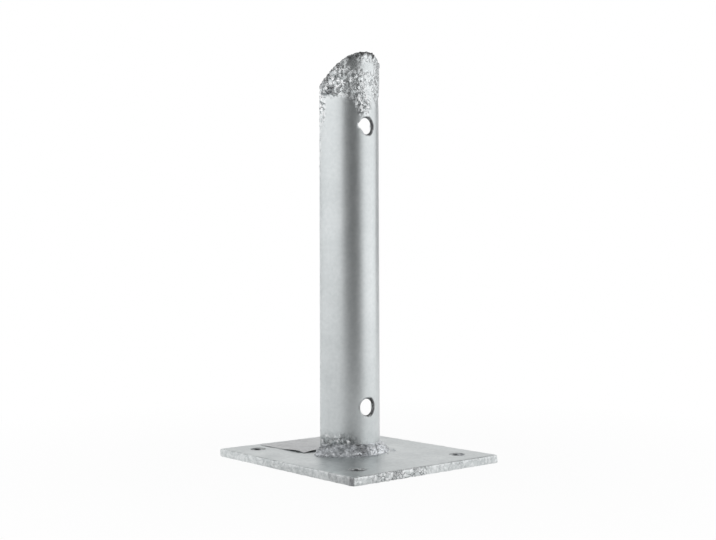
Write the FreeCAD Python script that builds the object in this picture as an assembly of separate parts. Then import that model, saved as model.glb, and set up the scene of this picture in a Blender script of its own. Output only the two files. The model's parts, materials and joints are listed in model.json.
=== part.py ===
import FreeCAD, Part
import os
from math import acos, degrees, radians, tan

# Timber post base: a half tube of steel, standing upright on a flat rectangular
# plate, welded round its outer side and hot-dip galvanised. The half tube is
# open to the back (+Y), carries two bolt holes in its round front (-Y), and has
# its top mitred, so that water runs off it.
# Millimetres. The origin is the middle of the plate's underside, and +Z is up.

# ---- Driving dimensions ------------------------------------------------------
# Base plate
plate_width = 130.0              # along X
plate_depth = 150.0              # along Y
plate_thickness = 6.0
plate_corner_radius = 1.2        # upright corners, dulled by the shear and the zinc
plate_edge_radius = 0.6          # zinc-rounded rim of the top and bottom faces

# Anchor holes, one near each corner of the plate
anchor_hole_diameter = 10.0
anchor_edge_distance = 20.0      # hole centre to the plate's side

# Half tube
tube_outer_radius = 25.0
tube_wall = 3.0
split_loss = 1.5                 # the split runs this far in front of the tube's axis
tube_axis_setback = 11.5         # tube axis behind the middle of the plate
upright_height = 280.0           # above the plate, to the tip of the mitred top
mitre_angle = 45.0               # degrees from level, sloping down to the back
free_edge_radius = 0.6           # zinc-rounded long edges along the split

# Bolt holes in the front of the half tube
bolt_hole_diameter = 13.0
lower_bolt_height = 32.0         # above the plate
bolt_spacing = 195.5

# Fillet weld between the half tube and the plate
weld_leg_on_plate = 6.5
weld_leg_on_tube = 6.0
weld_bulge = 0.9                 # how far the bead stands proud of a flat fillet
weld_end_gap = 2.0               # the bead stops this far short of each free edge

# Blank adhesive label behind the half tube, with one corner lifted
label_width = 60.0
label_depth = 50.0
label_thickness = 0.3
label_gap_to_tube = 9.5          # free edges of the half tube to the label's near side
label_offset = 3.0               # label's middle left of the plate's middle
label_turn = 3.0                 # degrees, as it was stuck on
label_lift_length = 16.0         # length of the lifted corner, along the diagonal
label_lift_radius = 60.0         # curl of the lifted corner

# ---- Values that follow from them --------------------------------------------
tiny = 1e-6                      # lengths closer than this count as equal
up = FreeCAD.Vector(0, 0, 1)
plate_top = plate_thickness
tube_bore_radius = tube_outer_radius - tube_wall
tube_axis = FreeCAD.Vector(0, tube_axis_setback, plate_top)
split_y = tube_axis_setback - split_loss
tube_front_y = tube_axis_setback - tube_outer_radius
anchor_x = plate_width / 2 - anchor_edge_distance
anchor_y = plate_depth / 2 - anchor_edge_distance


def is_upright(edge, height):
    """True for a straight edge that runs up through the whole height."""
    box = edge.BoundBox
    return abs(box.ZLength - height) < tiny and box.XLength + box.YLength < tiny


def outer_rim(shape, z, width, depth):
    """Edges at height z that lie on the outline of a width by depth rectangle."""
    rim = []
    for edge in shape.Edges:
        box = edge.BoundBox
        if abs(box.ZMin - z) < tiny and abs(box.ZMax - z) < tiny:
            middle = box.Center
            near_side = width / 2 - abs(middle.x) < plate_corner_radius
            near_end = depth / 2 - abs(middle.y) < plate_corner_radius
            if near_side or near_end:
                rim.append(edge)
    return rim


# ---- Base plate --------------------------------------------------------------
def make_base_plate():
    blank = Part.makeBox(
        plate_width, plate_depth, plate_thickness,
        FreeCAD.Vector(-plate_width / 2, -plate_depth / 2, 0),
    )
    corners = [edge for edge in blank.Edges if is_upright(edge, plate_thickness)]
    plate = blank.makeFillet(plate_corner_radius, corners)
    rims = outer_rim(plate, 0, plate_width, plate_depth)
    rims += outer_rim(plate, plate_top, plate_width, plate_depth)
    plate = plate.makeFillet(plate_edge_radius, rims)

    drills = []
    for side in (-1, 1):
        for end in (-1, 1):
            foot = FreeCAD.Vector(side * anchor_x, end * anchor_y, 0)
            drills.append(Part.makeCylinder(anchor_hole_diameter / 2, plate_thickness, foot))
    return plate.cut(Part.makeCompound(drills))


# ---- Half tube ---------------------------------------------------------------
def mitred_side_profile():
    """Side view of the half tube: its top is cut at a slope, down to the back."""
    front_top = plate_top + upright_height
    back_top = front_top - (split_y - tube_front_y) * tan(radians(mitre_angle))
    corners = [
        FreeCAD.Vector(-tube_outer_radius, tube_front_y, plate_top),
        FreeCAD.Vector(-tube_outer_radius, split_y, plate_top),
        FreeCAD.Vector(-tube_outer_radius, split_y, back_top),
        FreeCAD.Vector(-tube_outer_radius, tube_front_y, front_top),
    ]
    return Part.Face(Part.makePolygon(corners + corners[:1]))


def make_upright():
    outer = Part.makeCylinder(tube_outer_radius, upright_height, tube_axis)
    bore = Part.makeCylinder(tube_bore_radius, upright_height, tube_axis)
    tube = outer.cut(bore)

    # Split the tube lengthwise, mitre its top, and keep the front.
    keep = mitred_side_profile().extrude(FreeCAD.Vector(2 * tube_outer_radius, 0, 0))
    half = tube.common(keep).Solids[0]

    # The two long edges of each cut face are rounded over by the zinc.
    long_edges = [
        edge for edge in half.Edges
        if abs(edge.BoundBox.YMin - split_y) < tiny
        and edge.BoundBox.XLength < tiny
    ]
    half = half.makeFillet(free_edge_radius, long_edges)

    drills = []
    for height in (lower_bolt_height, lower_bolt_height + bolt_spacing):
        start = FreeCAD.Vector(0, tube_front_y, plate_top + height)
        drills.append(
            Part.makeCylinder(bolt_hole_diameter / 2, tube_outer_radius, start, FreeCAD.Vector(0, 1, 0))
        )
    return half.cut(Part.makeCompound(drills))


# ---- Weld bead ---------------------------------------------------------------
def make_weld_bead():
    """A convex fillet turned round the tube's axis, short of both free edges."""
    toe_on_tube = FreeCAD.Vector(0, tube_front_y, plate_top + weld_leg_on_tube)
    root = FreeCAD.Vector(0, tube_front_y, plate_top)
    toe_on_plate = FreeCAD.Vector(0, tube_front_y - weld_leg_on_plate, plate_top)
    flat_middle = (toe_on_tube + toe_on_plate) * 0.5
    outward = FreeCAD.Vector(0, -weld_leg_on_tube, weld_leg_on_plate).normalize()
    crest = flat_middle + outward * weld_bulge
    section = Part.Face(Part.Wire([
        Part.makeLine(toe_on_tube, root),
        Part.makeLine(root, toe_on_plate),
        Part.Arc(toe_on_plate, crest, toe_on_tube).toShape(),
    ]))
    half_angle = degrees(acos((split_loss + weld_end_gap) / tube_outer_radius))
    section.rotate(tube_axis, up, -half_angle)
    return section.revolve(tube_axis, up, 2 * half_angle)


# ---- Blank label -------------------------------------------------------------
def make_blank_label():
    """A thin sheet on the plate whose near left corner curls up off it."""
    near_y = split_y + label_gap_to_tube
    middle = FreeCAD.Vector(-label_offset, near_y + label_depth / 2, plate_top)
    corner = middle + FreeCAD.Vector(-label_width / 2, -label_depth / 2, 0)
    diagonal = FreeCAD.Vector(1, 1, 0).normalize()
    across = FreeCAD.Vector(-diagonal.y, diagonal.x, 0)
    reach = label_width + label_depth

    # Side view along the diagonal: flat, then an arc that leaves the plate.
    bend = corner + diagonal * label_lift_length
    curl_centre = bend + up * label_lift_radius
    turn = label_lift_length / label_lift_radius

    def on_curl(radius, angle):
        spoke = FreeCAD.Rotation(across, degrees(angle)).multVec(up * -radius)
        return curl_centre + spoke

    inner_radius = label_lift_radius - label_thickness
    under = [on_curl(label_lift_radius, share * turn) for share in (0, 0.5, 1)]
    over = [on_curl(inner_radius, share * turn) for share in (0, 0.5, 1)]
    far = bend + diagonal * reach
    side = Part.Face(Part.Wire([
        Part.makeLine(far, under[0]),
        Part.Arc(*under).toShape(),
        Part.makeLine(under[2], over[2]),
        Part.Arc(*reversed(over)).toShape(),
        Part.makeLine(over[0], far + up * label_thickness),
        Part.makeLine(far + up * label_thickness, far),
    ]))
    side.translate(across * -reach)
    sheet = side.extrude(across * (2 * reach))

    outline = Part.makeBox(label_width, label_depth, label_lift_radius, corner)
    label = sheet.common(outline).Solids[0]
    label.rotate(middle, up, label_turn)
    return label


# ---- Build -------------------------------------------------------------------
nodes = {
    "base_plate": make_base_plate(),
    "upright": make_upright(),
    "weld_bead": make_weld_bead(),
    "blank_label": make_blank_label(),
}

os.makedirs("parts", exist_ok=True)
for name, shape in nodes.items():
    shape.exportStep("parts/" + name + ".step")
    box = shape.optimalBoundingBox(False)
    print(
        name, shape.isValid(), len(shape.Solids), round(shape.Volume, 1),
        [round(v, 2) for v in (box.XMin, box.YMin, box.ZMin, box.XMax, box.YMax, box.ZMax)],
    )
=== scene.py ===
# %% [markdown]
# # Timber post base
# A post base carries a timber post clear of the ground. This one is a steel tube
# split lengthwise, mitred at the top, drilled for two bolts and welded upright
# on a flat plate with four anchor holes. The whole of it was then dipped in molten
# zinc. Blender gives it what the plain solids don't have: crinkled zinc at the ends,
# chipped plate edges, a weld laid pool by pool and a blank label that curls.

# %% Load the frame
import json
import math
import random

import bpy
from mathutils import Matrix, Vector


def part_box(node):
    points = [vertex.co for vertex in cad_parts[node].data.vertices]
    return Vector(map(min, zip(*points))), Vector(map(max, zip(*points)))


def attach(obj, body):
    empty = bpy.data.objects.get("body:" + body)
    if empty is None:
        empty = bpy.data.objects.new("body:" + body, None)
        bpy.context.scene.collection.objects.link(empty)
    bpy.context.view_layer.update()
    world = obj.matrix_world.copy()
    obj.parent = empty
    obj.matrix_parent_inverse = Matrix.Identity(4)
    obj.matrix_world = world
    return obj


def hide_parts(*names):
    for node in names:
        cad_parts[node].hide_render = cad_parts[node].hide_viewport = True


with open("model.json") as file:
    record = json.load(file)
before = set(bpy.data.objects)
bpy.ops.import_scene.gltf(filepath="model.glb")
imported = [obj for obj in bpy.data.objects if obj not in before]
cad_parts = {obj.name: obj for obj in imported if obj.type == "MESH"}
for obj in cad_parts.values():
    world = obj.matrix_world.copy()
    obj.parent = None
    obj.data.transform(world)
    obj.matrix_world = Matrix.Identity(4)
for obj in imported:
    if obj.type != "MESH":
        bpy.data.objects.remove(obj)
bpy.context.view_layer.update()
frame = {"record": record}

mm = 0.001


# %% [markdown]
# ## Sizes
# Every place is read from the solids' boxes and from the record's hole patterns, so the
# pieces land on the frame. Only what a box can't show, such as the tube's wall, is
# named here.

# %% Sizes taken from the frame
plate_low, plate_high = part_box("base_plate")
tube_low, tube_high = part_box("upright")
label_low, label_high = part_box("blank_label")
weld_end_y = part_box("weld_bead")[1].y
plate_top = plate_high.z
tip_z = tube_high.z
tube_radius = 25 * mm
tube_wall = 3 * mm
tube_front_y = tube_low.y
tube_axis_y = tube_front_y + tube_radius
split_y = tube_high.y

mounts = {mount["name"]: mount for mount in frame["record"]["mounts"]}
anchor = mounts["anchor_holes"]["dims"]
anchor_radius = anchor["hole_r_mm"] * mm
anchor_places = [
    (x * anchor["spacing_x_mm"] * mm / 2, y * anchor["spacing_y_mm"] * mm / 2)
    for x in (-1, 1) for y in (-1, 1)
]
post = mounts["post_bolts"]
bolt_radius = post["dims"]["hole_r_mm"] * mm
bolt_spacing = post["dims"]["spacing_y_mm"] * mm
bolt_heights = [post["pos_m"][2] + side * bolt_spacing / 2 for side in (-1, 1)]
print("tube axis at y", round(tube_axis_y / mm, 2), "mm, bolt holes at z",
      [round(z / mm, 2) for z in bolt_heights])

# %% [markdown]
# ## Working by hand, in code
# An operator acts on whatever is selected, so each step first makes one object the only
# selected one. A modifier is added with its settings and applied at once, which leaves a
# plain mesh behind. A new primitive is settled: its place and turn go into its mesh.

# %% Select, name, settle and modify an object


def alone(obj):
    """Makes obj the only selected object, and the active one."""
    bpy.ops.object.select_all(action="DESELECT")
    obj.select_set(True)
    bpy.context.view_layer.objects.active = obj
    return obj


def newest(name):
    """Names the object that the last operator made."""
    obj = bpy.context.object
    obj.name = name
    obj.data.name = name
    return obj


def settle(obj):
    """Moves an object's place, turn and scale into its mesh."""
    alone(obj)
    bpy.ops.object.transform_apply(location=True, rotation=True, scale=True)
    return obj


def modify(obj, kind, **settings):
    """Adds a modifier, gives it its settings and applies it."""
    alone(obj)
    modifier = obj.modifiers.new(kind, kind)
    for key, value in settings.items():
        setattr(modifier, key, value)
    bpy.ops.object.modifier_apply(modifier=modifier.name)


def report(obj):
    print(obj.name, "has", len(obj.data.vertices), "corners and", len(obj.data.polygons), "faces")


# %% [markdown]
# ## The upright
# The real one starts as a round tube. It is split lengthwise, and its top is mitred at
# 45 degrees, so that rain runs off. An extruded outline would need its curve drawn by
# hand, so the mesh is made as in the workshop: a cylinder is split with bisect, gets
# its wall from Solidify, and is bisected again at a slope.

# %% Split and mitre the tube


def slice_off(obj, place, way, fill):
    """Cuts obj with a plane through place and removes the side that way points to."""
    alone(obj)
    bpy.ops.object.mode_set(mode="EDIT")
    bpy.ops.mesh.select_all(action="SELECT")
    bpy.ops.mesh.bisect(plane_co=place, plane_no=way, use_fill=fill, clear_outer=True)
    bpy.ops.object.mode_set(mode="OBJECT")


lump_room = 0.1 * mm             # the steel stays this far inside the solid, so that the zinc has room
tip_allowance = 0.4 * mm         # the skin laid later rounds the tip off by about this much
mitre_way = (-0.03, 1, 1)        # 45 degrees down to the back, and a touch off square, as it was sawn
bpy.ops.object.select_all(action="DESELECT")
bpy.ops.mesh.primitive_cylinder_add(
    vertices=192, radius=tube_radius - lump_room, depth=tip_z - plate_top,
    end_fill_type="NOTHING", location=(0, tube_axis_y, (tip_z + plate_top) / 2),
)
upright = settle(newest("half_tube"))
slice_off(upright, (0, split_y, 0), (0, 1, 0), fill=False)
modify(upright, "SOLIDIFY", thickness=tube_wall, offset=-1, use_even_offset=True)
slice_off(upright, (0, tube_front_y, tip_z + tip_allowance), mitre_way, fill=True)
report(upright)

# %% [markdown]
# ## The bolt holes
# Two holes are drilled through the round front. Zinc rounds their rims and narrows the
# bore. A plain cylinder would leave sharp rims, so the cutter is a short core whose two
# ends are extruded and widened to flares.

# %% Drill the bolt holes


def drill(name, radius, depth, centre, turn=(0, 0, 0)):
    """A round cutter."""
    bpy.ops.object.select_all(action="DESELECT")
    bpy.ops.mesh.primitive_cylinder_add(vertices=64, radius=radius, depth=depth,
                                        location=centre, rotation=turn)
    return settle(newest(name))


def carve(obj, cutter):
    """Cuts the cutter's shape out of obj, and removes the cutter."""
    modify(obj, "BOOLEAN", operation="DIFFERENCE", object=cutter, solver="EXACT")
    bpy.data.objects.remove(cutter, do_unlink=True)


def select_faces(obj, wanted):
    """Selects the faces for which wanted(face) is true, and nothing else."""
    alone(obj)
    bpy.ops.object.mode_set(mode="EDIT")
    bpy.ops.mesh.select_mode(type="FACE")
    bpy.ops.mesh.select_all(action="DESELECT")
    bpy.ops.object.mode_set(mode="OBJECT")
    for face in obj.data.polygons:
        face.select = wanted(face)


lying = (math.pi / 2, 0, 0)              # turns a cutter so that it points to the front
bore_radius = bolt_radius - 1.3 * mm     # the zinc narrows the bore, and the skin wears its rims back
core_depth = 0.8 * mm
core_y = tube_front_y + 2.2 * mm
flare_reach = 8 * mm
flares = ((-1, 0.75), (1, 0.3))          # how fast the cutter widens to the front and to the back
for height in bolt_heights:
    cutter = drill("bolt_drill", bore_radius, core_depth, (0, core_y, height), lying)
    for side, flare in flares:
        select_faces(cutter, lambda face: face.normal.y * side > 0.9)
        widening = 1 + flare * flare_reach / bore_radius
        bpy.ops.object.mode_set(mode="EDIT")
        bpy.ops.mesh.extrude_region_move(TRANSFORM_OT_translate={"value": (0, side * flare_reach, 0)})
        bpy.ops.transform.resize(value=(widening, 1, widening))
        bpy.ops.object.mode_set(mode="OBJECT")
    carve(upright, cutter)
report(upright)

# %% [markdown]
# A burr was torn out at the left of the upper hole, which leaves a nick. A thin drill
# beside the hole takes it out.

# %% Nick the upper hole
upper_hole = bolt_heights[1]
nick_radius = 2.3 * mm
nick_place = (-4.3 * mm, tube_front_y, upper_hole - 0.2 * mm)
carve(upright, drill("nick_drill", nick_radius, 16 * mm, nick_place, lying))
report(upright)

# %% [markdown]
# ## The zinc skin
# Thick zinc hangs on after the dip: a web in the lower left of the upper hole, and drops
# along the tip of the mitre. They could be sculpted, but small balls set on by a formula
# come out the same each time.

# %% Hang the drops on the tube


def lump(name, place, size, turn=(0, 0, 0)):
    """A drop of zinc or steel: a small ball with its own half-sizes and turn."""
    bpy.ops.object.select_all(action="DESELECT")
    bpy.ops.mesh.primitive_ico_sphere_add(subdivisions=3, radius=1, location=place, rotation=turn)
    drop = newest(name)
    drop.scale = size
    return settle(drop)


web_place = (-4.3 * mm, tube_front_y + 1.8 * mm, upper_hole - 4.1 * mm)
web_size = (4.4 * mm, 1.2 * mm, 1.9 * mm)
drops = [lump("hole_web", web_place, web_size, (0, math.radians(45), 0))]

random.seed(3)
drop_ring = tube_radius - 0.8 * mm
for degree in range(-30, 34, 4):
    angle = math.radians(degree + random.uniform(-2, 2))
    size = random.uniform(0.5, 0.95) * mm
    y = tube_axis_y - drop_ring * math.cos(angle)
    rim_z = tip_z - (y - tube_front_y) - 0.3 * mm
    drops.append(lump("tip_drop", (drop_ring * math.sin(angle), y, rim_z), (size * 1.4, size, size)))
lip_place = (17.2 * mm, tube_axis_y - 17.0 * mm, tip_z - 6.6 * mm)
drops.append(lump("tip_lip", lip_place, (1.2 * mm, 2.0 * mm, 2.6 * mm)))
print("hung", len(drops), "drops on the tube")

# %% [markdown]
# Tube and drops have to become one surface, as they are under the zinc. A boolean union
# would leave sharp seams, so a voxel remesh lays one even skin over them all, fine enough
# for the relief that follows, and smoothing rounds its edges.

# %% Lay the skin over tube and drops


def join(parts, name):
    """Joins several objects into the first one."""
    alone(parts[0])
    for part in parts:
        part.select_set(True)
    bpy.ops.object.join()
    return newest(name)


def lay_skin(obj, voxel, rounds):
    """Gives an object one even skin of voxel-sized faces, and smooths it so many times."""
    modify(obj, "REMESH", mode="VOXEL", voxel_size=voxel, use_smooth_shade=True)
    modify(obj, "SMOOTH", factor=0.5, iterations=rounds)
    report(obj)


upright = join([upright] + drops, "half_tube")
lay_skin(upright, voxel=0.74 * mm, rounds=3)

# %% [markdown]
# ## Where the zinc is thick
# The tube was drained from its ends, so the zinc is thick over the uppermost 30 mm. It is
# roughest on the left, calm in two places near the tip, and ends below in a ledge. Each of
# these facts is a small function that gives a place a weight from 0 to 1. They could be
# painted by hand, but functions say where and why.

# %% Places of the thick zinc


def smooth_step(value, low, high):
    """0 below low, 1 above high, and an even slope between."""
    t = min(1.0, max(0.0, (value - low) / (high - low)))
    return t * t * (3 - 2 * t)


def ledge(co):
    """Height of the thick zinc's lower edge, which wanders, and dips on the left."""
    wander = 0.9 * math.sin(230 * co.x + 1) + 0.5 * math.sin(610 * co.x)
    dip = 3 * smooth_step(-co.x, 5 * mm, 16 * mm)
    return tip_z + (wander - dip - 27.8) * mm


def thick_zinc(co):
    """1 over the thick zinc and 0 below it: a clear step in front, and a long slope on the left."""
    reach = 0.8 * mm + 5 * mm * smooth_step(-co.x, 6 * mm, 14 * mm)
    return smooth_step(co.z, ledge(co) - reach, ledge(co) + reach)


# %% [markdown]
# Over the thick zinc, some places are rougher than others. Each is written as a product of
# simple fades, and the greatest one wins where two meet.

# %% Places of the crinkles


def near(co, x, z, across, up):
    """1 at a place on the front, fading to 0 at an ellipse round it."""
    return 1 - smooth_step(math.hypot((co.x - x) / across, (co.z - z) / up), 0.4, 1.0)


def rough_zinc(co):
    """How crinkled the thick zinc is: full on the left, less in front, fading below its ledge."""
    reach = 13 * mm - 8 * mm * smooth_step(-co.x, 8 * mm, 16 * mm)
    fading = smooth_step(co.z, ledge(co) - reach, ledge(co) + 1 * mm)
    calm_front = near(co, 0.5 * mm, tip_z - 11 * mm, 10 * mm, 4 * mm)
    calm_left = 0.8 * near(co, -11 * mm, tip_z - 10 * mm, 6 * mm, 6 * mm)
    side = 0.4 + 0.6 * smooth_step(-co.x, 15 * mm, 21 * mm)
    return fading * side * (1 - 0.85 * max(calm_front, calm_left))


def speckled(co):
    """Fine crinkles without lumps: down the left free edge, and from the ledge to the upper hole."""
    high = smooth_step(co.z, tip_z - 60 * mm, tip_z - 40 * mm)
    edge = smooth_step(co.y, split_y - 8 * mm, split_y - 3 * mm) * high * (co.x < 0)
    return max(0.9 * edge, 0.8 * near(co, -2 * mm, tip_z - 37 * mm, 9 * mm, 12 * mm))


# %% [markdown]
# Two more places hold lumpy zinc: the cut edges of the split, where it ran down and
# beaded, and the foot, where drops from the weld stick to the tube.

# %% Places along the edges and at the foot


def crinkled_foot(co):
    """The lower left of the tube's outer face, where weld spatter holds the zinc."""
    outer = math.hypot(co.x, co.y - tube_axis_y) > tube_radius - tube_wall / 2
    low = 1 - smooth_step(co.z, plate_top + 9 * mm, plate_top + 18 * mm)
    return low * smooth_step(-co.x, 6 * mm, 13 * mm) * (co.y < split_y - 1 * mm) * outer


def split_edge(co):
    """Both free edges, strong along their upper part and weak further down."""
    along = 0.2 + 0.8 * smooth_step(co.z, tip_z - 106 * mm, tip_z - 56 * mm)
    return smooth_step(co.y, split_y - 3.5 * mm, split_y - 0.5 * mm) * along


# %% [markdown]
# ## Relief on the upright
# Cloud patterns push the skin in and out. The Displace modifier takes a vertex group as
# its mask, and at least half of each height goes inwards, so the outline stays as round as
# the tube. First comes the long swell that any rolled and dipped tube has.

# %% Swell the tube


def mask(obj, name, weight):
    """A vertex group whose weight at each corner is weight(place)."""
    group = obj.vertex_groups.new(name=name)
    for vertex in obj.data.vertices:
        value = weight(vertex.co)
        if value > 0:
            group.add([vertex.index], value, "REPLACE")
    return name


def relief(obj, name, size, height, group="", inwards=0.5, depth=1, hard=False):
    """Moves the surface by a cloud pattern of a size.

    height is from trough to crest, inwards is the share of it that goes in, and depth is how
    many finer layers the clouds have. hard gives them creases.
    """
    clouds = bpy.data.textures.new(name, "CLOUDS")
    clouds.noise_scale = size
    clouds.noise_depth = depth
    clouds.noise_type = "HARD_NOISE" if hard else "SOFT_NOISE"
    modify(obj, "DISPLACE", texture=clouds, texture_coords="LOCAL", direction="NORMAL",
           strength=height, mid_level=inwards, vertex_group=group)


rough_group = mask(upright, "rough_zinc", rough_zinc)
edge_group = mask(upright, "split_edge", split_edge)
relief(upright, "swell", 20 * mm, 0.05 * mm)
foot_group = mask(upright, "crinkled_foot", crinkled_foot)

# %% [markdown]
# The thick zinc ends in a ledge. A texture can't place one edge, so each corner of the
# mesh is moved along its normal by how thick the zinc is there.

# %% Raise the ledge of thick zinc
ledge_height = 0.45 * mm
ledge_sunk = 0.9                 # share of the ledge's height by which the thin zinc is lowered
outward = [vertex.normal.copy() for vertex in upright.data.vertices]
for vertex, normal in zip(upright.data.vertices, outward):
    vertex.co += normal * ledge_height * (thick_zinc(vertex.co) - ledge_sunk)
report(upright)

# %% [markdown]
# Then come the finer patterns, each in its own place and size: lumps of 7 mm, crinkles of
# 3 mm, specks, beads on the free edges, and the crinkled foot.

# %% Push the rough zinc in and out
speckle_group = mask(upright, "speckled", speckled)
relief(upright, "lumps", 7 * mm, 1.5 * mm, rough_group, inwards=0.56)
relief(upright, "crinkles", 3.2 * mm, 1.3 * mm, rough_group, depth=2, hard=True)
relief(upright, "speckles", 2.2 * mm, 0.5 * mm, speckle_group)
relief(upright, "edge_beads", 2.5 * mm, 0.7 * mm, edge_group)
relief(upright, "foot_crinkles", 2.6 * mm, 1.0 * mm, foot_group, inwards=0.6, depth=2, hard=True)

# %% [markdown]
# The zinc's lumps mustn't make the part bigger than its solid, so a corner that stands
# out of the solid's box is pressed back onto it.

# %% Keep the zinc inside the solid's box


def keep_in_box(obj, low, high):
    """Presses any corner that stands out of a box back onto it."""
    pressed = 0
    for vertex in obj.data.vertices:
        inside = Vector(min(max(v, a), b) for v, a, b in zip(vertex.co, low, high))
        if (inside - vertex.co).length > 1e-7:
            vertex.co = inside
            pressed += 1
    print(obj.name, "had", pressed, "corners pressed back into the box")


edge_room = 0.6 * mm             # the beads may stand this far behind the split
keep_in_box(upright, (-tube_radius, tube_front_y, plate_top), (tube_radius, split_y + edge_room, tip_z))

# %% [markdown]
# ## Stains and painted shade on the upright
# The material has to know where the zinc is rough, where it is stained or shaded, and where it
# is sunk, which gets painted shade. The same kind of weight is stored on the mesh
# as an attribute, which a material reads by name.

# %% Places of the stains, and of the painted shade in the bores


def foot_stain(co):
    """Weld smoke low on the left of the tube."""
    low = 1 - smooth_step(co.z, plate_top + 7 * mm, plate_top + 12 * mm)
    return 0.7 * crinkled_foot(co) + 0.3 * low * (co.x < 0)


def tip_stain(co):
    """Dark ash along the rim: strong on the drops at the tip, weaker down its left side."""
    below_rim = tip_z - (co.y - tube_front_y) - co.z
    ragged = below_rim - 1.2 * mm * math.sin(1300 * co.x)
    tip = 1 - smooth_step(ragged, 1.6 * mm, 3.4 * mm)
    tip *= 1 - smooth_step(abs(co.x - 0.5 * mm), 6 * mm, 9 * mm)
    side = 1 - smooth_step(ragged, 1.5 * mm, 7 * mm)
    side *= smooth_step(-co.x, 5 * mm, 8 * mm)
    return max(1.8 * tip, 0.9 * side)


def edge_flecks(co):
    """Small dark flecks along the cut faces of the split."""
    flecks = smooth_step(math.sin(900 * co.z) + math.sin(2300 * co.z + 1), 0.6, 1.2)
    return 0.8 * smooth_step(co.y, split_y - 1.2 * mm, split_y) * flecks


def in_bore(co):
    """The walls of the bolt holes, darkest on the right, where no light falls."""
    reach = min(math.hypot(co.x, co.z - height) for height in bolt_heights)
    on_wall = 1 - smooth_step(reach, bolt_radius + 0.5 * mm, bolt_radius + 1.1 * mm)
    in_wall = smooth_step(co.y, tube_front_y + 0.4 * mm, tube_front_y + 0.9 * mm) * (co.y < 0)
    right_side = 0.3 + 0.7 * smooth_step(co.x, -2 * mm, 2 * mm)
    return on_wall * in_wall * right_side


# %% [markdown]
# Creases also get painted shade. A crease is a place where the relief has sunk the skin into
# the wall, so its depth is measured from the middle of the wall.

# %% Depth of the creases


def tube_hollow_shade(co):
    """How deep a place is sunk into the wall, for the painted shade in creases."""
    below_rim = tip_z - (co.y - tube_front_y) - co.z
    mid_wall = tube_radius - tube_wall / 2
    sunk = tube_wall / 2 - 0.2 * mm - abs(math.hypot(co.x, co.y - tube_axis_y) - mid_wall)
    clear_of_edges = (co.y < split_y - 1.5 * mm) * (below_rim > 1.5 * mm)
    creased = max(rough_zinc(co), 0.5 * crinkled_foot(co)) * clear_of_edges
    return creased * smooth_step(sunk, 0.3 * mm, 0.8 * mm)


# %% [markdown]
# A material reads one value for each corner, so the places are put together into three
# attributes: how rough, how stained or shaded, and how sunk, which sets the painted shade.

# %% Store the upright's masks


def finish_mask(obj, name, weight):
    """Keeps weight(place) as an attribute of the mesh, and prints its mean."""
    weights = [weight(vertex.co) for vertex in obj.data.vertices]
    values = obj.data.attributes.new(name, "FLOAT", "POINT")
    values.data.foreach_set("value", weights)
    print(obj.name, name, "is", round(sum(weights) / len(weights), 3), "on average")


def upright_rough(co):
    return max(rough_zinc(co), speckled(co), 0.5 * split_edge(co), 0.7 * foot_stain(co))


def upright_stain_and_shade(co):
    # in_bore adds painted shade in the bolt holes; the others are stains.
    return max(0.5 * foot_stain(co), 1.6 * in_bore(co), tip_stain(co), edge_flecks(co))


finish_mask(upright, "rough", upright_rough)
finish_mask(upright, "stain_and_shade", upright_stain_and_shade)
finish_mask(upright, "hollow_shade", tube_hollow_shade)

# %% [markdown]
# ## The base plate
# A rectangle sheared from 6 mm plate, with four anchor holes. Shearing chips the rim, and
# the zinc beads along it. The plate is a cube with its rim bevelled and its holes carved,
# and gets the same skin as the tube, so that the rim can be chipped.

# %% Cut the plate
bpy.ops.object.select_all(action="DESELECT")
bpy.ops.mesh.primitive_cube_add(size=1, location=(plate_low + plate_high) / 2)
plate = newest("sheared_plate")
plate_room = Vector((0.4, 0.4, 0.15)) * mm       # kept free round the steel for the zinc
plate.scale = (plate_high - plate_low) - plate_room
settle(plate)
modify(plate, "BEVEL", width=0.5 * mm, segments=2)
for x, y in anchor_places:
    carve(plate, drill("anchor_drill", anchor_radius, 4 * plate_top, (x, y, plate_top / 2)))
drip_place = (-24.4 * mm, plate_low.y + 0.8 * mm, 0.8 * mm)
drip = lump("edge_drip", drip_place, (2.4 * mm, 0.9 * mm, 0.9 * mm))
plate = join([plate, drip], "sheared_plate")
lay_skin(plate, voxel=0.75 * mm, rounds=3)

# %% [markdown]
# The top stays flat, and the relief is all along the rim. One stretch of the front side
# was torn rather than cut by the shear, and is the roughest.

# %% Chip the plate's rim


def from_side(co):
    """How far a place lies inside the plate's nearest side."""
    return min(plate_high.x - abs(co.x), plate_high.y - abs(co.y))


def near_rim(co):
    return 1 - smooth_step(from_side(co), 0.3 * mm, 2.2 * mm)


def torn_rim(co):
    """The front side, from about 18 to 60 mm off its left corner."""
    along = co.x - plate_low.x
    stretch = smooth_step(along, 14 * mm, 22 * mm) * (1 - smooth_step(along, 56 * mm, 66 * mm))
    front = 1 - smooth_step(co.y - plate_low.y, 1 * mm, 3 * mm)
    return near_rim(co) * front * stretch


rim_group = mask(plate, "near_rim", near_rim)
torn_group = mask(plate, "torn_rim", torn_rim)
relief(plate, "plate_swell", 18 * mm, 0.06 * mm)
relief(plate, "rim_lumps", 4 * mm, 0.9 * mm, rim_group, inwards=0.6, depth=2)
torn_height = -1.9 * mm          # turned over: the creases stand out, and 0.7 of it goes inwards
relief(plate, "torn_lumps", 2.6 * mm, torn_height, torn_group, inwards=0.3, depth=2, hard=True)
keep_in_box(plate, plate_low, plate_high)

# %% [markdown]
# The plate has the same three masks. Its stain mask holds painted shade in the anchor holes,
# and a dark front left corner.

# %% Store the plate's masks


def plate_rough(co):
    return 0.3 * near_rim(co) + 0.3 * torn_rim(co)


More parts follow.
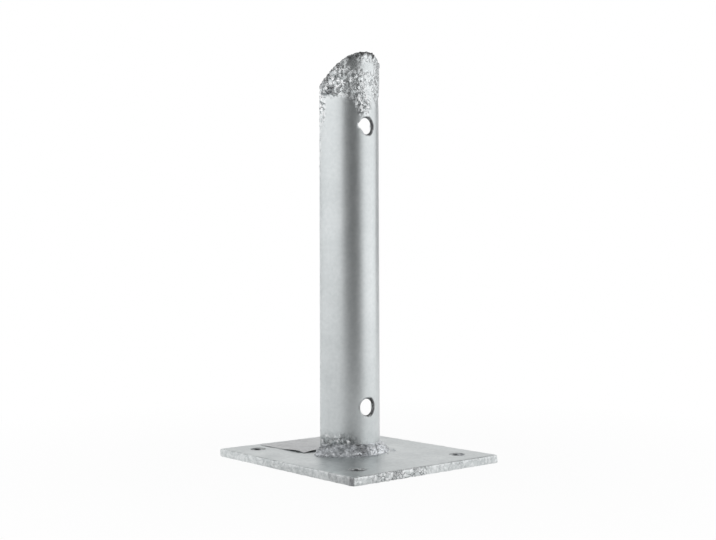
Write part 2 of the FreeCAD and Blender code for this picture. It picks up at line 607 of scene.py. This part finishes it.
def plate_stain_and_shade(co):
    """Painted shade in the anchor holes, and dark down the front left corner and along the side next to it.
    """
    to_left = co.x - plate_low.x
    to_front = co.y - plate_low.y
    bore = min(math.hypot(co.x - x, co.y - y) for x, y in anchor_places)
    hole_shade = 1 - smooth_step(bore, anchor_radius + 0.1 * mm, anchor_radius + 0.9 * mm)
    corner = 1 - smooth_step(math.hypot(to_left, to_front / 4), 0.7 * mm, 1.8 * mm)
    side = (1 - smooth_step(to_left, 0.3 * mm, 0.7 * mm)) * (1 - smooth_step(to_front, 24.5 * mm, 25.5 * mm))
    return max(hole_shade, corner, 0.45 * side)


def plate_hollow_shade(co):
    """How deep the sheared sides are chipped, for painted shade in the chips."""
    on_side = smooth_step(co.z, 0.4 * mm, 1.0 * mm) * smooth_step(plate_top - co.z, 0.8 * mm, 1.4 * mm)
    return on_side * (from_side(co) < 3 * mm) * smooth_step(from_side(co), 0.4 * mm, 1.3 * mm)


finish_mask(plate, "rough", plate_rough)
finish_mask(plate, "stain_and_shade", plate_stain_and_shade)
finish_mask(plate, "hollow_shade", plate_hollow_shade)

# %% [markdown]
# ## The weld
# A fillet weld is a row of overlapping pools, each frozen a moment after the one
# before. A spun section would be too even. So a cut cone gives the sloping bed, with thin
# toes that run out on tube and plate, and flat pools with small differences are set on
# it. A remesh melts them all into one bead.

# %% Lay the bed of the weld
leg = 6.3 * mm
sunk = 1.5 * mm                  # the bed starts inside the plate and ends inside the tube's wall
bed_bore = tube_radius - 2.2 * mm
bpy.ops.object.select_all(action="DESELECT")
bpy.ops.mesh.primitive_cone_add(
    vertices=128, radius1=tube_radius + leg + sunk, radius2=tube_radius - sunk,
    depth=leg + 2 * sunk, location=(0, tube_axis_y, plate_top + leg / 2),
)
bed = settle(newest("weld_bed"))
carve(bed, drill("tube_room", bed_bore, 40 * mm, (0, tube_axis_y, plate_top)))
slice_off(bed, (0, weld_end_y, 0), (0, 1, 0), fill=True)
report(bed)

# %% [markdown]
# The pools follow the foot of the tube. Each one's size drifts a little from the last, as
# a welder's hand does, and spatter lies round them on the plate.

# %% Set the pools and the spatter


def round_tube(ring, angle, z):
    """A place at a distance from the tube's axis, turned so far round it from the front."""
    return (ring * math.sin(angle), tube_axis_y - ring * math.cos(angle), z)


random.seed(7)
pool_count = 56
spatter_count = 60
leg_tilt = math.radians(43)      # slope of the fillet's face
half_angle = math.acos((tube_axis_y - weld_end_y) / tube_radius)
laid = [bed]
swell = 0.0                      # the welder's hand: each pool is a little like the one before
for step in range(pool_count):
    angle = -half_angle + 2 * half_angle * (step + 0.5) / pool_count
    swell = 0.8 * swell + random.uniform(-0.3, 0.3)
    place = round_tube(tube_radius + (2.7 + 0.4 * swell) * mm, angle, plate_top + (2.6 + 0.5 * swell) * mm)
    size = (random.uniform(1.9, 2.8) * mm, (4.6 + 0.5 * swell) * mm, (1.3 + 0.35 * swell) * mm)
    laid.append(lump("pool", place, size, (leg_tilt, 0, angle)))
for spatter in range(spatter_count):
    angle = random.uniform(-1.3, 1.0)
    ring = tube_radius + random.uniform(5.5, 11.0) * mm
    size = random.uniform(0.35, 0.75) * mm
    turn = (0, 0, random.uniform(0, 3))
    laid.append(lump("spatter", round_tube(ring, angle, plate_top), (size * 1.5, size, size * 0.7), turn))
print("laid", pool_count, "pools and", spatter_count, "drops of spatter")

# %% [markdown]
# Zinc covers the weld too, so a finer skin melts bed, pools and spatter together, and a
# crust and small pits are pushed into it.

# %% Melt it into one bead
weld = join(laid, "laid_weld")
lay_skin(weld, voxel=0.4 * mm, rounds=5)
relief(weld, "weld_crust", 5 * mm, 1.1 * mm, depth=2)
relief(weld, "weld_pits", 2.2 * mm, 0.5 * mm, hard=True)

# %% [markdown]
# The weld's masks make it rougher and cleaner on the right, and dull and smoky on the left. Its sunk places
# get painted shade.

# %% Store the weld's masks


def weld_rough(co):
    return 0.25 + 0.25 * smooth_step(co.x, -6 * mm, 2 * mm)


def weld_stain(co):
    """Dull on the left half, and smoky left of the middle, where the arc was struck."""
    left = 1 - smooth_step(co.x, -8 * mm, 2 * mm)
    smoke = smooth_step(co.x, -12 * mm, -7 * mm) * (1 - smooth_step(co.x, -2 * mm, 2 * mm))
    high = smooth_step(co.z, plate_top + 1 * mm, plate_top + 3 * mm)
    return 0.75 * left + 0.4 * smoke * high


def weld_hollow_shade(co):
    """How far a place lies under the flat face of the fillet, for painted shade there."""
    ring = math.hypot(co.x, co.y - tube_axis_y) - tube_radius
    depth = (leg - ring - (co.z - plate_top)) / math.sqrt(2)
    return 0.4 * smooth_step(depth, 0.1 * mm, 1.0 * mm)


finish_mask(weld, "rough", weld_rough)
finish_mask(weld, "stain_and_shade", weld_stain)
finish_mask(weld, "hollow_shade", weld_hollow_shade)

# %% [markdown]
# ## The label
# A blank paper label lies behind the tube. One corner never stuck, so it buckles up off
# the plate there, and its edges curl a little. Cloth physics would be more than such a
# small buckle needs: a fine grid is lifted by a formula and then given its thickness.

# %% Curl the label
half_width = 30 * mm
half_depth = 25 * mm
buckle_height = 0.9 * mm
curl_height = 0.1 * mm
glue_gap = 0.03 * mm
label_turn = math.radians(3)
bpy.ops.object.select_all(action="DESELECT")
bpy.ops.mesh.primitive_grid_add(x_subdivisions=60, y_subdivisions=50, size=1, location=(0, 0, 0))
label = newest("paper_label")
label.scale = (2 * half_width, 2 * half_depth, 1)
settle(label)
for vertex in label.data.vertices:
    x, y = vertex.co.x, vertex.co.y
    from_corner = (x + half_width + y + half_depth) / math.sqrt(2)
    buckle = smooth_step(from_corner, 0, 6 * mm) * (1 - smooth_step(from_corner, 7 * mm, 17 * mm))
    from_edge = min(half_width - abs(x), half_depth - abs(y))
    waves = 1 + math.sin(260 * x) * math.sin(340 * y)
    curl = (1 - smooth_step(from_edge, 0, 3 * mm)) * waves
    vertex.co.z = buckle_height * buckle + curl_height * curl
label_middle = (label_low + label_high) / 2
label.location = (label_middle.x, label_middle.y, plate_top + glue_gap)
label.rotation_euler = (0, 0, label_turn)
settle(label)
modify(label, "SOLIDIFY", thickness=0.2 * mm, offset=1)
report(label)

# %% [markdown]
# ## Materials
# Colours are written as sRGB hex values, the way a colour chart gives them, and one
# function turns them to the linear values that a shader needs. One more function adds
# any node with its settings and links, so that a material reads as a list of nodes.

# %% Helpers for materials
mix_share, mix_under, mix_over = 0, 6, 7         # a colour Mix node's inputs, by number
mixed = 2                                        # and its output


def srgb(hex_value):
    """A six-digit hex colour as linear red, green, blue and alpha."""
    channels = [int(hex_value[i:i + 2], 16) / 255 for i in (0, 2, 4)]
    return tuple(c / 12.92 if c <= 0.04045 else ((c + 0.055) / 1.055) ** 2.4 for c in channels) + (1.0,)


def grey(level):
    return (level, level, level, 1.0)


def per_metre(size_mm):
    """The scale of a noise pattern whose features are about size_mm wide."""
    return 1000 / size_mm


def node(tree, kind, inputs, out=0, stops=(), **settings):
    """Adds a node and returns one of its outputs, by name or number.

    inputs gives its sockets values, or other nodes' outputs to link. settings are its own
    fields, and stops are a colour ramp's positions and colours, in order.
    """
    new = tree.nodes.new("ShaderNode" + kind)
    for key, value in settings.items():
        setattr(new, key, value)
    for key, value in inputs.items():
        if isinstance(value, bpy.types.NodeSocket):
            tree.links.new(value, new.inputs[key])
        else:
            new.inputs[key].default_value = value
    for number, (position, colour) in enumerate(stops):
        elements = new.color_ramp.elements
        stop = elements[number] if number < len(elements) else elements.new(position)
        stop.position = position
        stop.color = colour
    return new.outputs[out]


def new_material(name):
    """An empty material, with its node tree and its shader."""
    material = bpy.data.materials.new(name)
    material.use_nodes = True
    return material, material.node_tree, material.node_tree.nodes["Principled BSDF"]


# %% [markdown]
# ## Hot-dip zinc
# Steel dipped in molten zinc comes out a pale, cool grey metal with a satin skin: a
# little cloudy over 20 mm and mottled over 2 to 3 mm. Where the zinc froze thick it is
# crumpled like foil, in small flat faces of 1 to 2 mm between long folds, with dull pits
# of ash. An image of zinc would stretch round the tube, so noise in the object's own
# coordinates draws each of these, and the stored masks say where.

# %% Crumpled faces and folds


def crumpled_faces(tree, place, rough, facet):
    """Small flat faces, about a facet wide, as cell colours, and how strong they are in each patch."""
    patches = node(tree, "TexNoise", {"Vector": place, "Scale": per_metre(9), "Detail": 2.0})
    patches = node(tree, "ValToRGB", {"Fac": patches}, stops=[(0.42, grey(0.25)), (0.58, grey(1))])
    crumpled = node(tree, "Math", {0: rough, 1: patches}, operation="MULTIPLY")
    warp = node(tree, "TexNoise", {"Vector": place, "Scale": per_metre(4), "Detail": 2.0}, out="Color")
    bent = node(tree, "VectorMath", {0: warp, 1: (facet, facet, facet), 2: place}, operation="MULTIPLY_ADD")
    cells = node(tree, "TexVoronoi", {"Vector": bent, "Scale": 1 / facet}, out="Color")
    return cells, crumpled


def folds(tree, place, rough):
    """Thin folds along the middle of a wide noise, wherever the zinc is rough."""
    wave = node(tree, "TexNoise", {"Vector": place, "Scale": per_metre(11), "Detail": 2.0, "Distortion": 1.6})
    off_line = node(tree, "Math", {0: wave, 1: 0.5}, operation="SUBTRACT")
    off_line = node(tree, "Math", {0: off_line}, operation="ABSOLUTE")
    line = node(tree, "ValToRGB", {"Fac": off_line}, stops=[(0.0, grey(1)), (0.025, grey(0))])
    folded = node(tree, "Math", {0: rough, 1: 3.0}, operation="MULTIPLY")
    folded = node(tree, "Math", {0: folded, 1: 0.6}, operation="SUBTRACT", use_clamp=True)
    return node(tree, "Math", {0: line, 1: folded}, operation="MULTIPLY")


# %% [markdown]
# The colour is laid on in this order: the clouded skin, painted glints on bright faces, ash in
# the pits, painted shade in folds and hollows, and last the stains of weld and ash, and painted shade in the
# holes.

# %% Colour of the zinc


def zinc_skin(tree, clouds, mottle, dull, bright):
    """Wide clouds and a fine mottle, in equal parts, between two greys."""
    half_clouds = node(tree, "Math", {0: clouds, 1: 0.5}, operation="MULTIPLY")
    half_mottle = node(tree, "Math", {0: mottle, 1: 0.5}, operation="MULTIPLY")
    tone = node(tree, "Math", {0: half_clouds, 1: half_mottle}, operation="ADD")
    return node(tree, "ValToRGB", {"Fac": tone}, stops=[(0.3, srgb(dull)), (0.7, srgb(bright))])


def glint_and_ash_colour(tree, place, skin, rough, cells, crumpled):
    """Painted glints on bright faces, and dull pits of ash, about 1.7 mm wide, on the rough zinc."""
    # The glint is a painted highlight: near white is mixed into the colour of some faces.
    glint = node(tree, "ValToRGB", {"Fac": cells}, stops=[(0.45, grey(0)), (0.6, grey(1))])
    glint = node(tree, "Math", {0: glint, 1: rough}, operation="MULTIPLY")
    skin = node(tree, "Mix", {mix_share: glint, mix_under: skin, mix_over: srgb("FAFBFC")},
                out=mixed, data_type="RGBA")
    ash = node(tree, "TexNoise", {"Vector": place, "Scale": per_metre(1.7), "Detail": 2.0, "Distortion": 0.6})
    pits = node(tree, "ValToRGB", {"Fac": ash}, stops=[(0.33, grey(0.6)), (0.43, grey(0))])
    pits = node(tree, "Math", {0: pits, 1: crumpled}, operation="MULTIPLY")
    return node(tree, "Mix", {mix_share: pits, mix_under: skin, mix_over: srgb("7C7F82")},
                out=mixed, data_type="RGBA")


def painted_crease_shade(tree, skin, hollow_shade, fold):
    """Painted shade in hollows and folds."""
    in_hollow = node(tree, "Math", {0: hollow_shade, 1: 0.85}, operation="MULTIPLY")
    in_fold = node(tree, "Math", {0: fold, 1: 0.7}, operation="MULTIPLY")
    shade = node(tree, "Math", {0: in_hollow, 1: in_fold}, operation="MAXIMUM")
    # 5C6064 is the painted shade, mixed in by depth and along folds.
    return node(tree, "Mix", {mix_share: shade, mix_under: skin, mix_over: srgb("5C6064")},
                out=mixed, data_type="RGBA")


def stain_and_shade_colour(tree, skin, stain_and_shade, clouds, mottle):
    """Ash and smoke, with painted shade in the bores and holes, brown grey to blue grey, broken up by the
    mottle.
    """
    dirt_and_shade = node(tree, "ValToRGB", {"Fac": clouds}, stops=[(0.35, srgb("4A4A48")), (0.65, srgb("85868A"))])
    uneven = node(tree, "ValToRGB", {"Fac": mottle}, stops=[(0.3, grey(1)), (0.7, grey(0.35))])
    stained = node(tree, "Math", {0: stain_and_shade, 1: uneven}, operation="MULTIPLY")
    return node(tree, "Mix", {mix_share: stained, mix_under: skin, mix_over: dirt_and_shade},
                out=mixed, data_type="RGBA")


# %% [markdown]
# The gloss is satin, and brighter on the crumpled faces. The relief is what is too fine
# for the mesh: a grain all over, then crinkles, sunk folds and tilted faces.

# %% Gloss and fine relief of the zinc


def zinc_gloss(tree, mottle, rough):
    """Roughness round 0.38, a little uneven, and lower where the zinc is crumpled."""
    uneven = node(tree, "Math", {0: mottle, 1: 0.08}, operation="MULTIPLY")
    satin = node(tree, "Math", {0: uneven, 1: 0.34}, operation="ADD")
    shine = node(tree, "Math", {0: rough, 1: 0.14}, operation="MULTIPLY")
    return node(tree, "Math", {0: satin, 1: shine}, operation="SUBTRACT")


def zinc_bumps(tree, place, rough, fold, crinkle_height):
    """Grain of 1.1 mm, crinkles of 2.8 mm where it is rough, and folds sunk by 0.35 mm."""
    grain = node(tree, "TexNoise", {"Vector": place, "Scale": per_metre(1.1), "Detail": 3.0})
    skin = node(tree, "Bump", {"Height": grain, "Strength": 1.0, "Distance": 0.02 * mm})
    foil = {"Vector": place, "Scale": per_metre(2.8), "Detail": 3.0, "Distortion": 1.0}
    foil = node(tree, "TexNoise", foil)
    foil = node(tree, "Math", {0: foil, 1: rough}, operation="MULTIPLY")
    skin = node(tree, "Bump", {"Height": foil, "Strength": 1.0, "Distance": crinkle_height, "Normal": skin})
    sunk_fold = {"Height": fold, "Strength": 1.0, "Distance": 0.35 * mm, "Normal": skin}
    return node(tree, "Bump", sunk_fold, invert=True)


def tilted_faces(tree, normal, cells, crumpled):
    """Tilts the normal to a way of its own in each cell, which makes the faces glint."""
    strength = node(tree, "Math", {0: crumpled, 1: 1.4}, operation="MULTIPLY")
    tilt = node(tree, "VectorMath", {0: cells, 1: (0.5, 0.5, 0.5)}, operation="SUBTRACT")
    tilt = node(tree, "VectorMath", {0: tilt, "Scale": strength}, operation="SCALE")
    tilted = node(tree, "VectorMath", {0: tilt, 1: normal}, operation="ADD")
    return node(tree, "VectorMath", {0: tilted}, operation="NORMALIZE")


# %% [markdown]
# One function puts these steps together. Tube, plate and weld are the same zinc, but it
# froze a little duller on some, and in larger or smaller faces.

# %% Put the zinc together


def hot_dip_zinc(name, dull, bright, facet, crinkle_height):
    """Galvanised steel, all metal, between a dull and a bright grey."""
    material, tree, shader = new_material(name)
    place = node(tree, "TexCoord", {}, out="Object")
    rough, stain_and_shade, hollow_shade = [
        node(tree, "Attribute", {}, out="Fac", attribute_name=mask_name)
        for mask_name in ("rough", "stain_and_shade", "hollow_shade")
    ]
    clouds = node(tree, "TexNoise", {"Vector": place, "Scale": per_metre(22), "Detail": 3.0})
    mottle = node(tree, "TexNoise", {"Vector": place, "Scale": per_metre(2.6), "Detail": 3.0})
    cells, crumpled = crumpled_faces(tree, place, rough, facet)
    fold = folds(tree, place, rough)

    colour = zinc_skin(tree, clouds, mottle, dull, bright)
    colour = glint_and_ash_colour(tree, place, colour, rough, cells, crumpled)
    colour = painted_crease_shade(tree, colour, hollow_shade, fold)
    colour = stain_and_shade_colour(tree, colour, stain_and_shade, clouds, mottle)
    normal = zinc_bumps(tree, place, rough, fold, crinkle_height)
    normal = tilted_faces(tree, normal, cells, crumpled)

    tree.links.new(colour, shader.inputs["Base Color"])
    tree.links.new(zinc_gloss(tree, mottle, rough), shader.inputs["Roughness"])
    tree.links.new(normal, shader.inputs["Normal"])
    shader.inputs["Metallic"].default_value = 1.0
    print(name, "has", len(tree.nodes), "nodes")
    return material


zinc = hot_dip_zinc("hot_dip_zinc", "CCD1D2", "DEE2E3", 1.5 * mm, 0.6 * mm)
plate_zinc = hot_dip_zinc("hot_dip_zinc_on_plate", "BEC3C4", "E1E5E5", 2.0 * mm, 0.6 * mm)
weld_zinc = hot_dip_zinc("hot_dip_zinc_on_weld", "BCC2C9", "EAEDF0", 1.3 * mm, 0.5 * mm)

# %% [markdown]
# ## Label paper
# Uncoated paper is matt white; this label is drawn a pale grey. It has faint pulp clouds of
# 3 mm, grey marks of handling, a soft crumple and a fibre grain, which is drawn as
# coarse as 0.8 mm so that it shows at all.

# %% Uncoated label paper


def label_paper():
    """Matt paper between two pale greys."""
    material, tree, shader = new_material("uncoated_label_paper")
    place = node(tree, "TexCoord", {}, out="Object")
    pulp = node(tree, "TexNoise", {"Vector": place, "Scale": per_metre(3), "Detail": 4.0})
    sheet = node(tree, "ValToRGB", {"Fac": pulp}, stops=[(0.35, srgb("D2D3D4")), (0.65, srgb("DFE0E1"))])
    marks = {"Vector": place, "Scale": per_metre(14), "Detail": 3.0, "Distortion": 1.0}
    marks = node(tree, "TexNoise", marks)
    handled = node(tree, "ValToRGB", {"Fac": marks}, stops=[(0.52, grey(0)), (0.72, grey(0.5))])
    colour = node(tree, "Mix", {mix_share: handled, mix_under: sheet, mix_over: srgb("B9BABB")},
                  out=mixed, data_type="RGBA")
    crumple = node(tree, "TexNoise", {"Vector": place, "Scale": per_metre(12), "Detail": 1.0})
    crumple = node(tree, "Bump", {"Height": crumple, "Strength": 1.0, "Distance": 0.8 * mm})
    fibre = node(tree, "TexNoise", {"Vector": place, "Scale": per_metre(0.8), "Detail": 2.0})
    fibre = node(tree, "Bump", {"Height": fibre, "Strength": 1.0, "Distance": 0.02 * mm, "Normal": crumple})
    tree.links.new(colour, shader.inputs["Base Color"])
    tree.links.new(fibre, shader.inputs["Normal"])
    shader.inputs["Roughness"].default_value = 0.65
    print(material.name, "has", len(tree.nodes), "nodes")
    return material


paper = label_paper()

# %% [markdown]
# ## Dressing the pieces
# Each piece gets its finish and rides on the one rigid body. It also says which solid it
# stands for.

# %% Dress the pieces


def dress(obj, material, solid):
    """Gives a piece its finish, its body and the solid that it stands for."""
    obj.data.materials.clear()
    obj.data.materials.append(material)
    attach(obj, "root")
    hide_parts(solid)
    print(obj.name, "stands for", solid, "in", material.name)


dress(upright, zinc, "upright")
dress(plate, plate_zinc, "base_plate")
dress(weld, weld_zinc, "weld_bead")
dress(label, paper, "blank_label")

# %% [markdown]
# ## Camera
# The camera stands low and to the left of the front, level with the lower half of
# the upright, and looks very slightly up.

# %% Set the camera
yaw = math.radians(-40.18)
pitch = math.radians(1.28)
roll = 0.003035
bpy.ops.object.camera_add(location=(-0.4515, -0.5377, 0.1176))
camera = bpy.context.object
aim = Matrix.Rotation(yaw, 3, "Z") @ Matrix.Rotation(pitch, 3, "X") @ Matrix.Rotation(roll, 3, "Y")
camera.rotation_euler = (aim @ Matrix.Rotation(math.pi / 2, 3, "X")).to_euler()
camera.data.lens = 50.11
camera.data.sensor_width = 36
camera.data.clip_start = 0.01
bpy.context.scene.camera = camera
print("camera turned", round(math.degrees(yaw), 2), "degrees, lens", round(camera.data.lens, 2), "mm")

# %% [markdown]
# ## Floor and light
# Metal shows its surroundings, so they matter as much as its own colour. Two big soft
# lamps stand left and right of the camera, and the dim gap between them gives the tube
# its dark band. Three weaker ones stand far left, behind and above. The floor is white
# card, and what the metal mirrors of it is a card too: pale, dimmer to the left, and dark
# towards the gap.

# %% Directions round the object


def bearing(degrees):
    """The level direction that lies so many degrees to the right of the camera, seen from the object."""
    turn = math.radians(degrees)
    to_camera = Vector((math.sin(yaw), -math.cos(yaw), 0))
    to_right = Vector((math.cos(yaw), math.sin(yaw), 0))
    return to_camera * math.cos(turn) + to_right * math.sin(turn)


gap_way = bearing(37)            # from the object to the dim gap between the lamps
right_way = bearing(90)
print("the gap between the lamps lies towards", [round(v, 3) for v in gap_way])

# %% [markdown]
# To the camera the floor is white card with a faint shadow, and runs out to plain white.

# %% Card as the camera sees it


def seen_card(tree, shader, distance):
    """Mostly white light, so that only a trace of the card and its shadow shows near the object."""
    white_share = {"Value": distance, "From Min": 0.12, "From Max": 0.4, "To Min": 0.94, "To Max": 1.0}
    fade = node(tree, "MapRange", white_share)
    camera_ray = node(tree, "LightPath", {}, out="Is Camera Ray")
    seen = node(tree, "Math", {0: camera_ray, 1: fade}, operation="MULTIPLY")
    white = node(tree, "Emission", {"Color": grey(1), "Strength": 1.0})
    return node(tree, "MixShader", {0: seen, 1: shader.outputs["BSDF"], 2: white})


# %% [markdown]
# The tube mirrors the floor all round, so the light that it gets from there is drawn
# separately, by the direction in which the floor lies from the object.

# %% Card as the metal mirrors it


def mirrored_card(tree, place, distance):
    """Pale light, dimmer from ahead and the left, and darkest towards the gap, 0.13 to 0.4 m away."""
    way = node(tree, "VectorMath", {0: place}, operation="NORMALIZE")
    to_gap = node(tree, "VectorMath", {0: way, 1: gap_way}, out="Value", operation="DOT_PRODUCT")
    in_gap = node(tree, "MapRange", {"Value": to_gap, "From Min": 0.80, "From Max": 0.99},
                  interpolation_type="SMOOTHSTEP")
    far_off = node(tree, "MapRange", {"Value": distance, "From Min": 0.13, "From Max": 0.4, "To Max": 0.66},
                   interpolation_type="SMOOTHSTEP")
    dark = node(tree, "Math", {0: in_gap, 1: far_off}, operation="MULTIPLY")
    sideways = node(tree, "VectorMath", {0: way, 1: right_way}, out="Value", operation="DOT_PRODUCT")
    across = node(tree, "Math", {0: sideways, 1: 0.5, 2: 0.5}, operation="MULTIPLY_ADD")
    card = node(tree, "ValToRGB", {"Fac": across}, stops=[
        (0.0, grey(0.95)), (0.08, grey(0.72)), (0.5, grey(0.72)), (0.8, grey(0.95)),
    ])
    shine = node(tree, "Math", {0: card, 1: dark}, operation="SUBTRACT")
    return node(tree, "Emission", {"Color": grey(1), "Strength": shine})


# %% [markdown]
# A floor this large has its edges far outside the camera's view.

# %% Lay the floor
floor_material, tree, shader = new_material("white_studio_card")
shader.inputs["Base Color"].default_value = srgb("F0F0F0")
shader.inputs["Roughness"].default_value = 0.9
place = node(tree, "TexCoord", {}, out="Object")
distance = node(tree, "VectorMath", {0: place}, out="Value", operation="LENGTH")
seen = seen_card(tree, shader, distance)
mirrored = mirrored_card(tree, place, distance)
glossy_ray = node(tree, "LightPath", {}, out="Is Glossy Ray")
surface = node(tree, "MixShader", {0: glossy_ray, 1: seen, 2: mirrored})
tree.links.new(surface, tree.nodes["Material Output"].inputs["Surface"])

bpy.ops.object.select_all(action="DESELECT")
bpy.ops.mesh.primitive_plane_add(size=8, location=(0, 0, 0))
floor = newest("studio_floor")
floor.data.materials.append(floor_material)
report(floor)

# %% [markdown]
# The room round the floor is plain white to the camera, and dim to everything else, so
# that the lamps alone shape the metal.

# %% Surroundings
room_light = 0.12
world = bpy.data.worlds.new("studio")
bpy.context.scene.world = world
world.use_nodes = True
tree = world.node_tree
backdrop = tree.nodes["Background"]
backdrop.inputs["Color"].default_value = grey(1)
camera_ray = node(tree, "LightPath", {}, out="Is Camera Ray")
level = node(tree, "MapRange", {"Value": camera_ray, "To Min": room_light, "To Max": 1.0})
tree.links.new(level, backdrop.inputs["Strength"])
print("the room shines at", room_light, "on the object")

# %% [markdown]
# Each softbox is a rectangle of light that points at the upright. Its energy grows with
# its size, so level 1 always shows as white in a mirror.

# %% Lamps
lamp_target = Vector((0, 0, 0.15))


def softbox(name, turn, distance, width, height, middle_z, level):
    """A soft lamp, turned so many degrees round the object from the camera."""
    place = bearing(turn) * distance + Vector((0, 0, middle_z))
    bpy.ops.object.light_add(type="AREA", location=place)
    lamp = bpy.context.object
    lamp.name = name
    lamp.data.shape = "RECTANGLE"
    lamp.data.size = width
    lamp.data.size_y = height
    lamp.data.energy = level * math.pi * width * height
    lamp.rotation_euler = (lamp_target - place).to_track_quat("-Z", "Y").to_euler()
    lamp.visible_camera = False
    print(name, "gives", round(lamp.data.energy, 2), "W")


softbox("left_softbox", -45.5, 1.4, 2.6, 1.6, 0.8, 1.03)
softbox("far_left_softbox", -115, 1.5, 1.3, 1.6, 0.7, 0.9)
softbox("right_softbox", 93, 1.4, 2.2, 1.6, 0.7, 1.05)
softbox("back_softbox", 180, 2.2, 3.0, 1.6, 0.8, 0.8)
softbox("top_softbox", 0, 0.2, 1.6, 1.6, 1.7, 0.8)

# %% [markdown]
# ## Finish
# The standard view transform shows each colour as it is written.

# %% Finish
bpy.context.scene.view_settings.view_transform = "Standard"
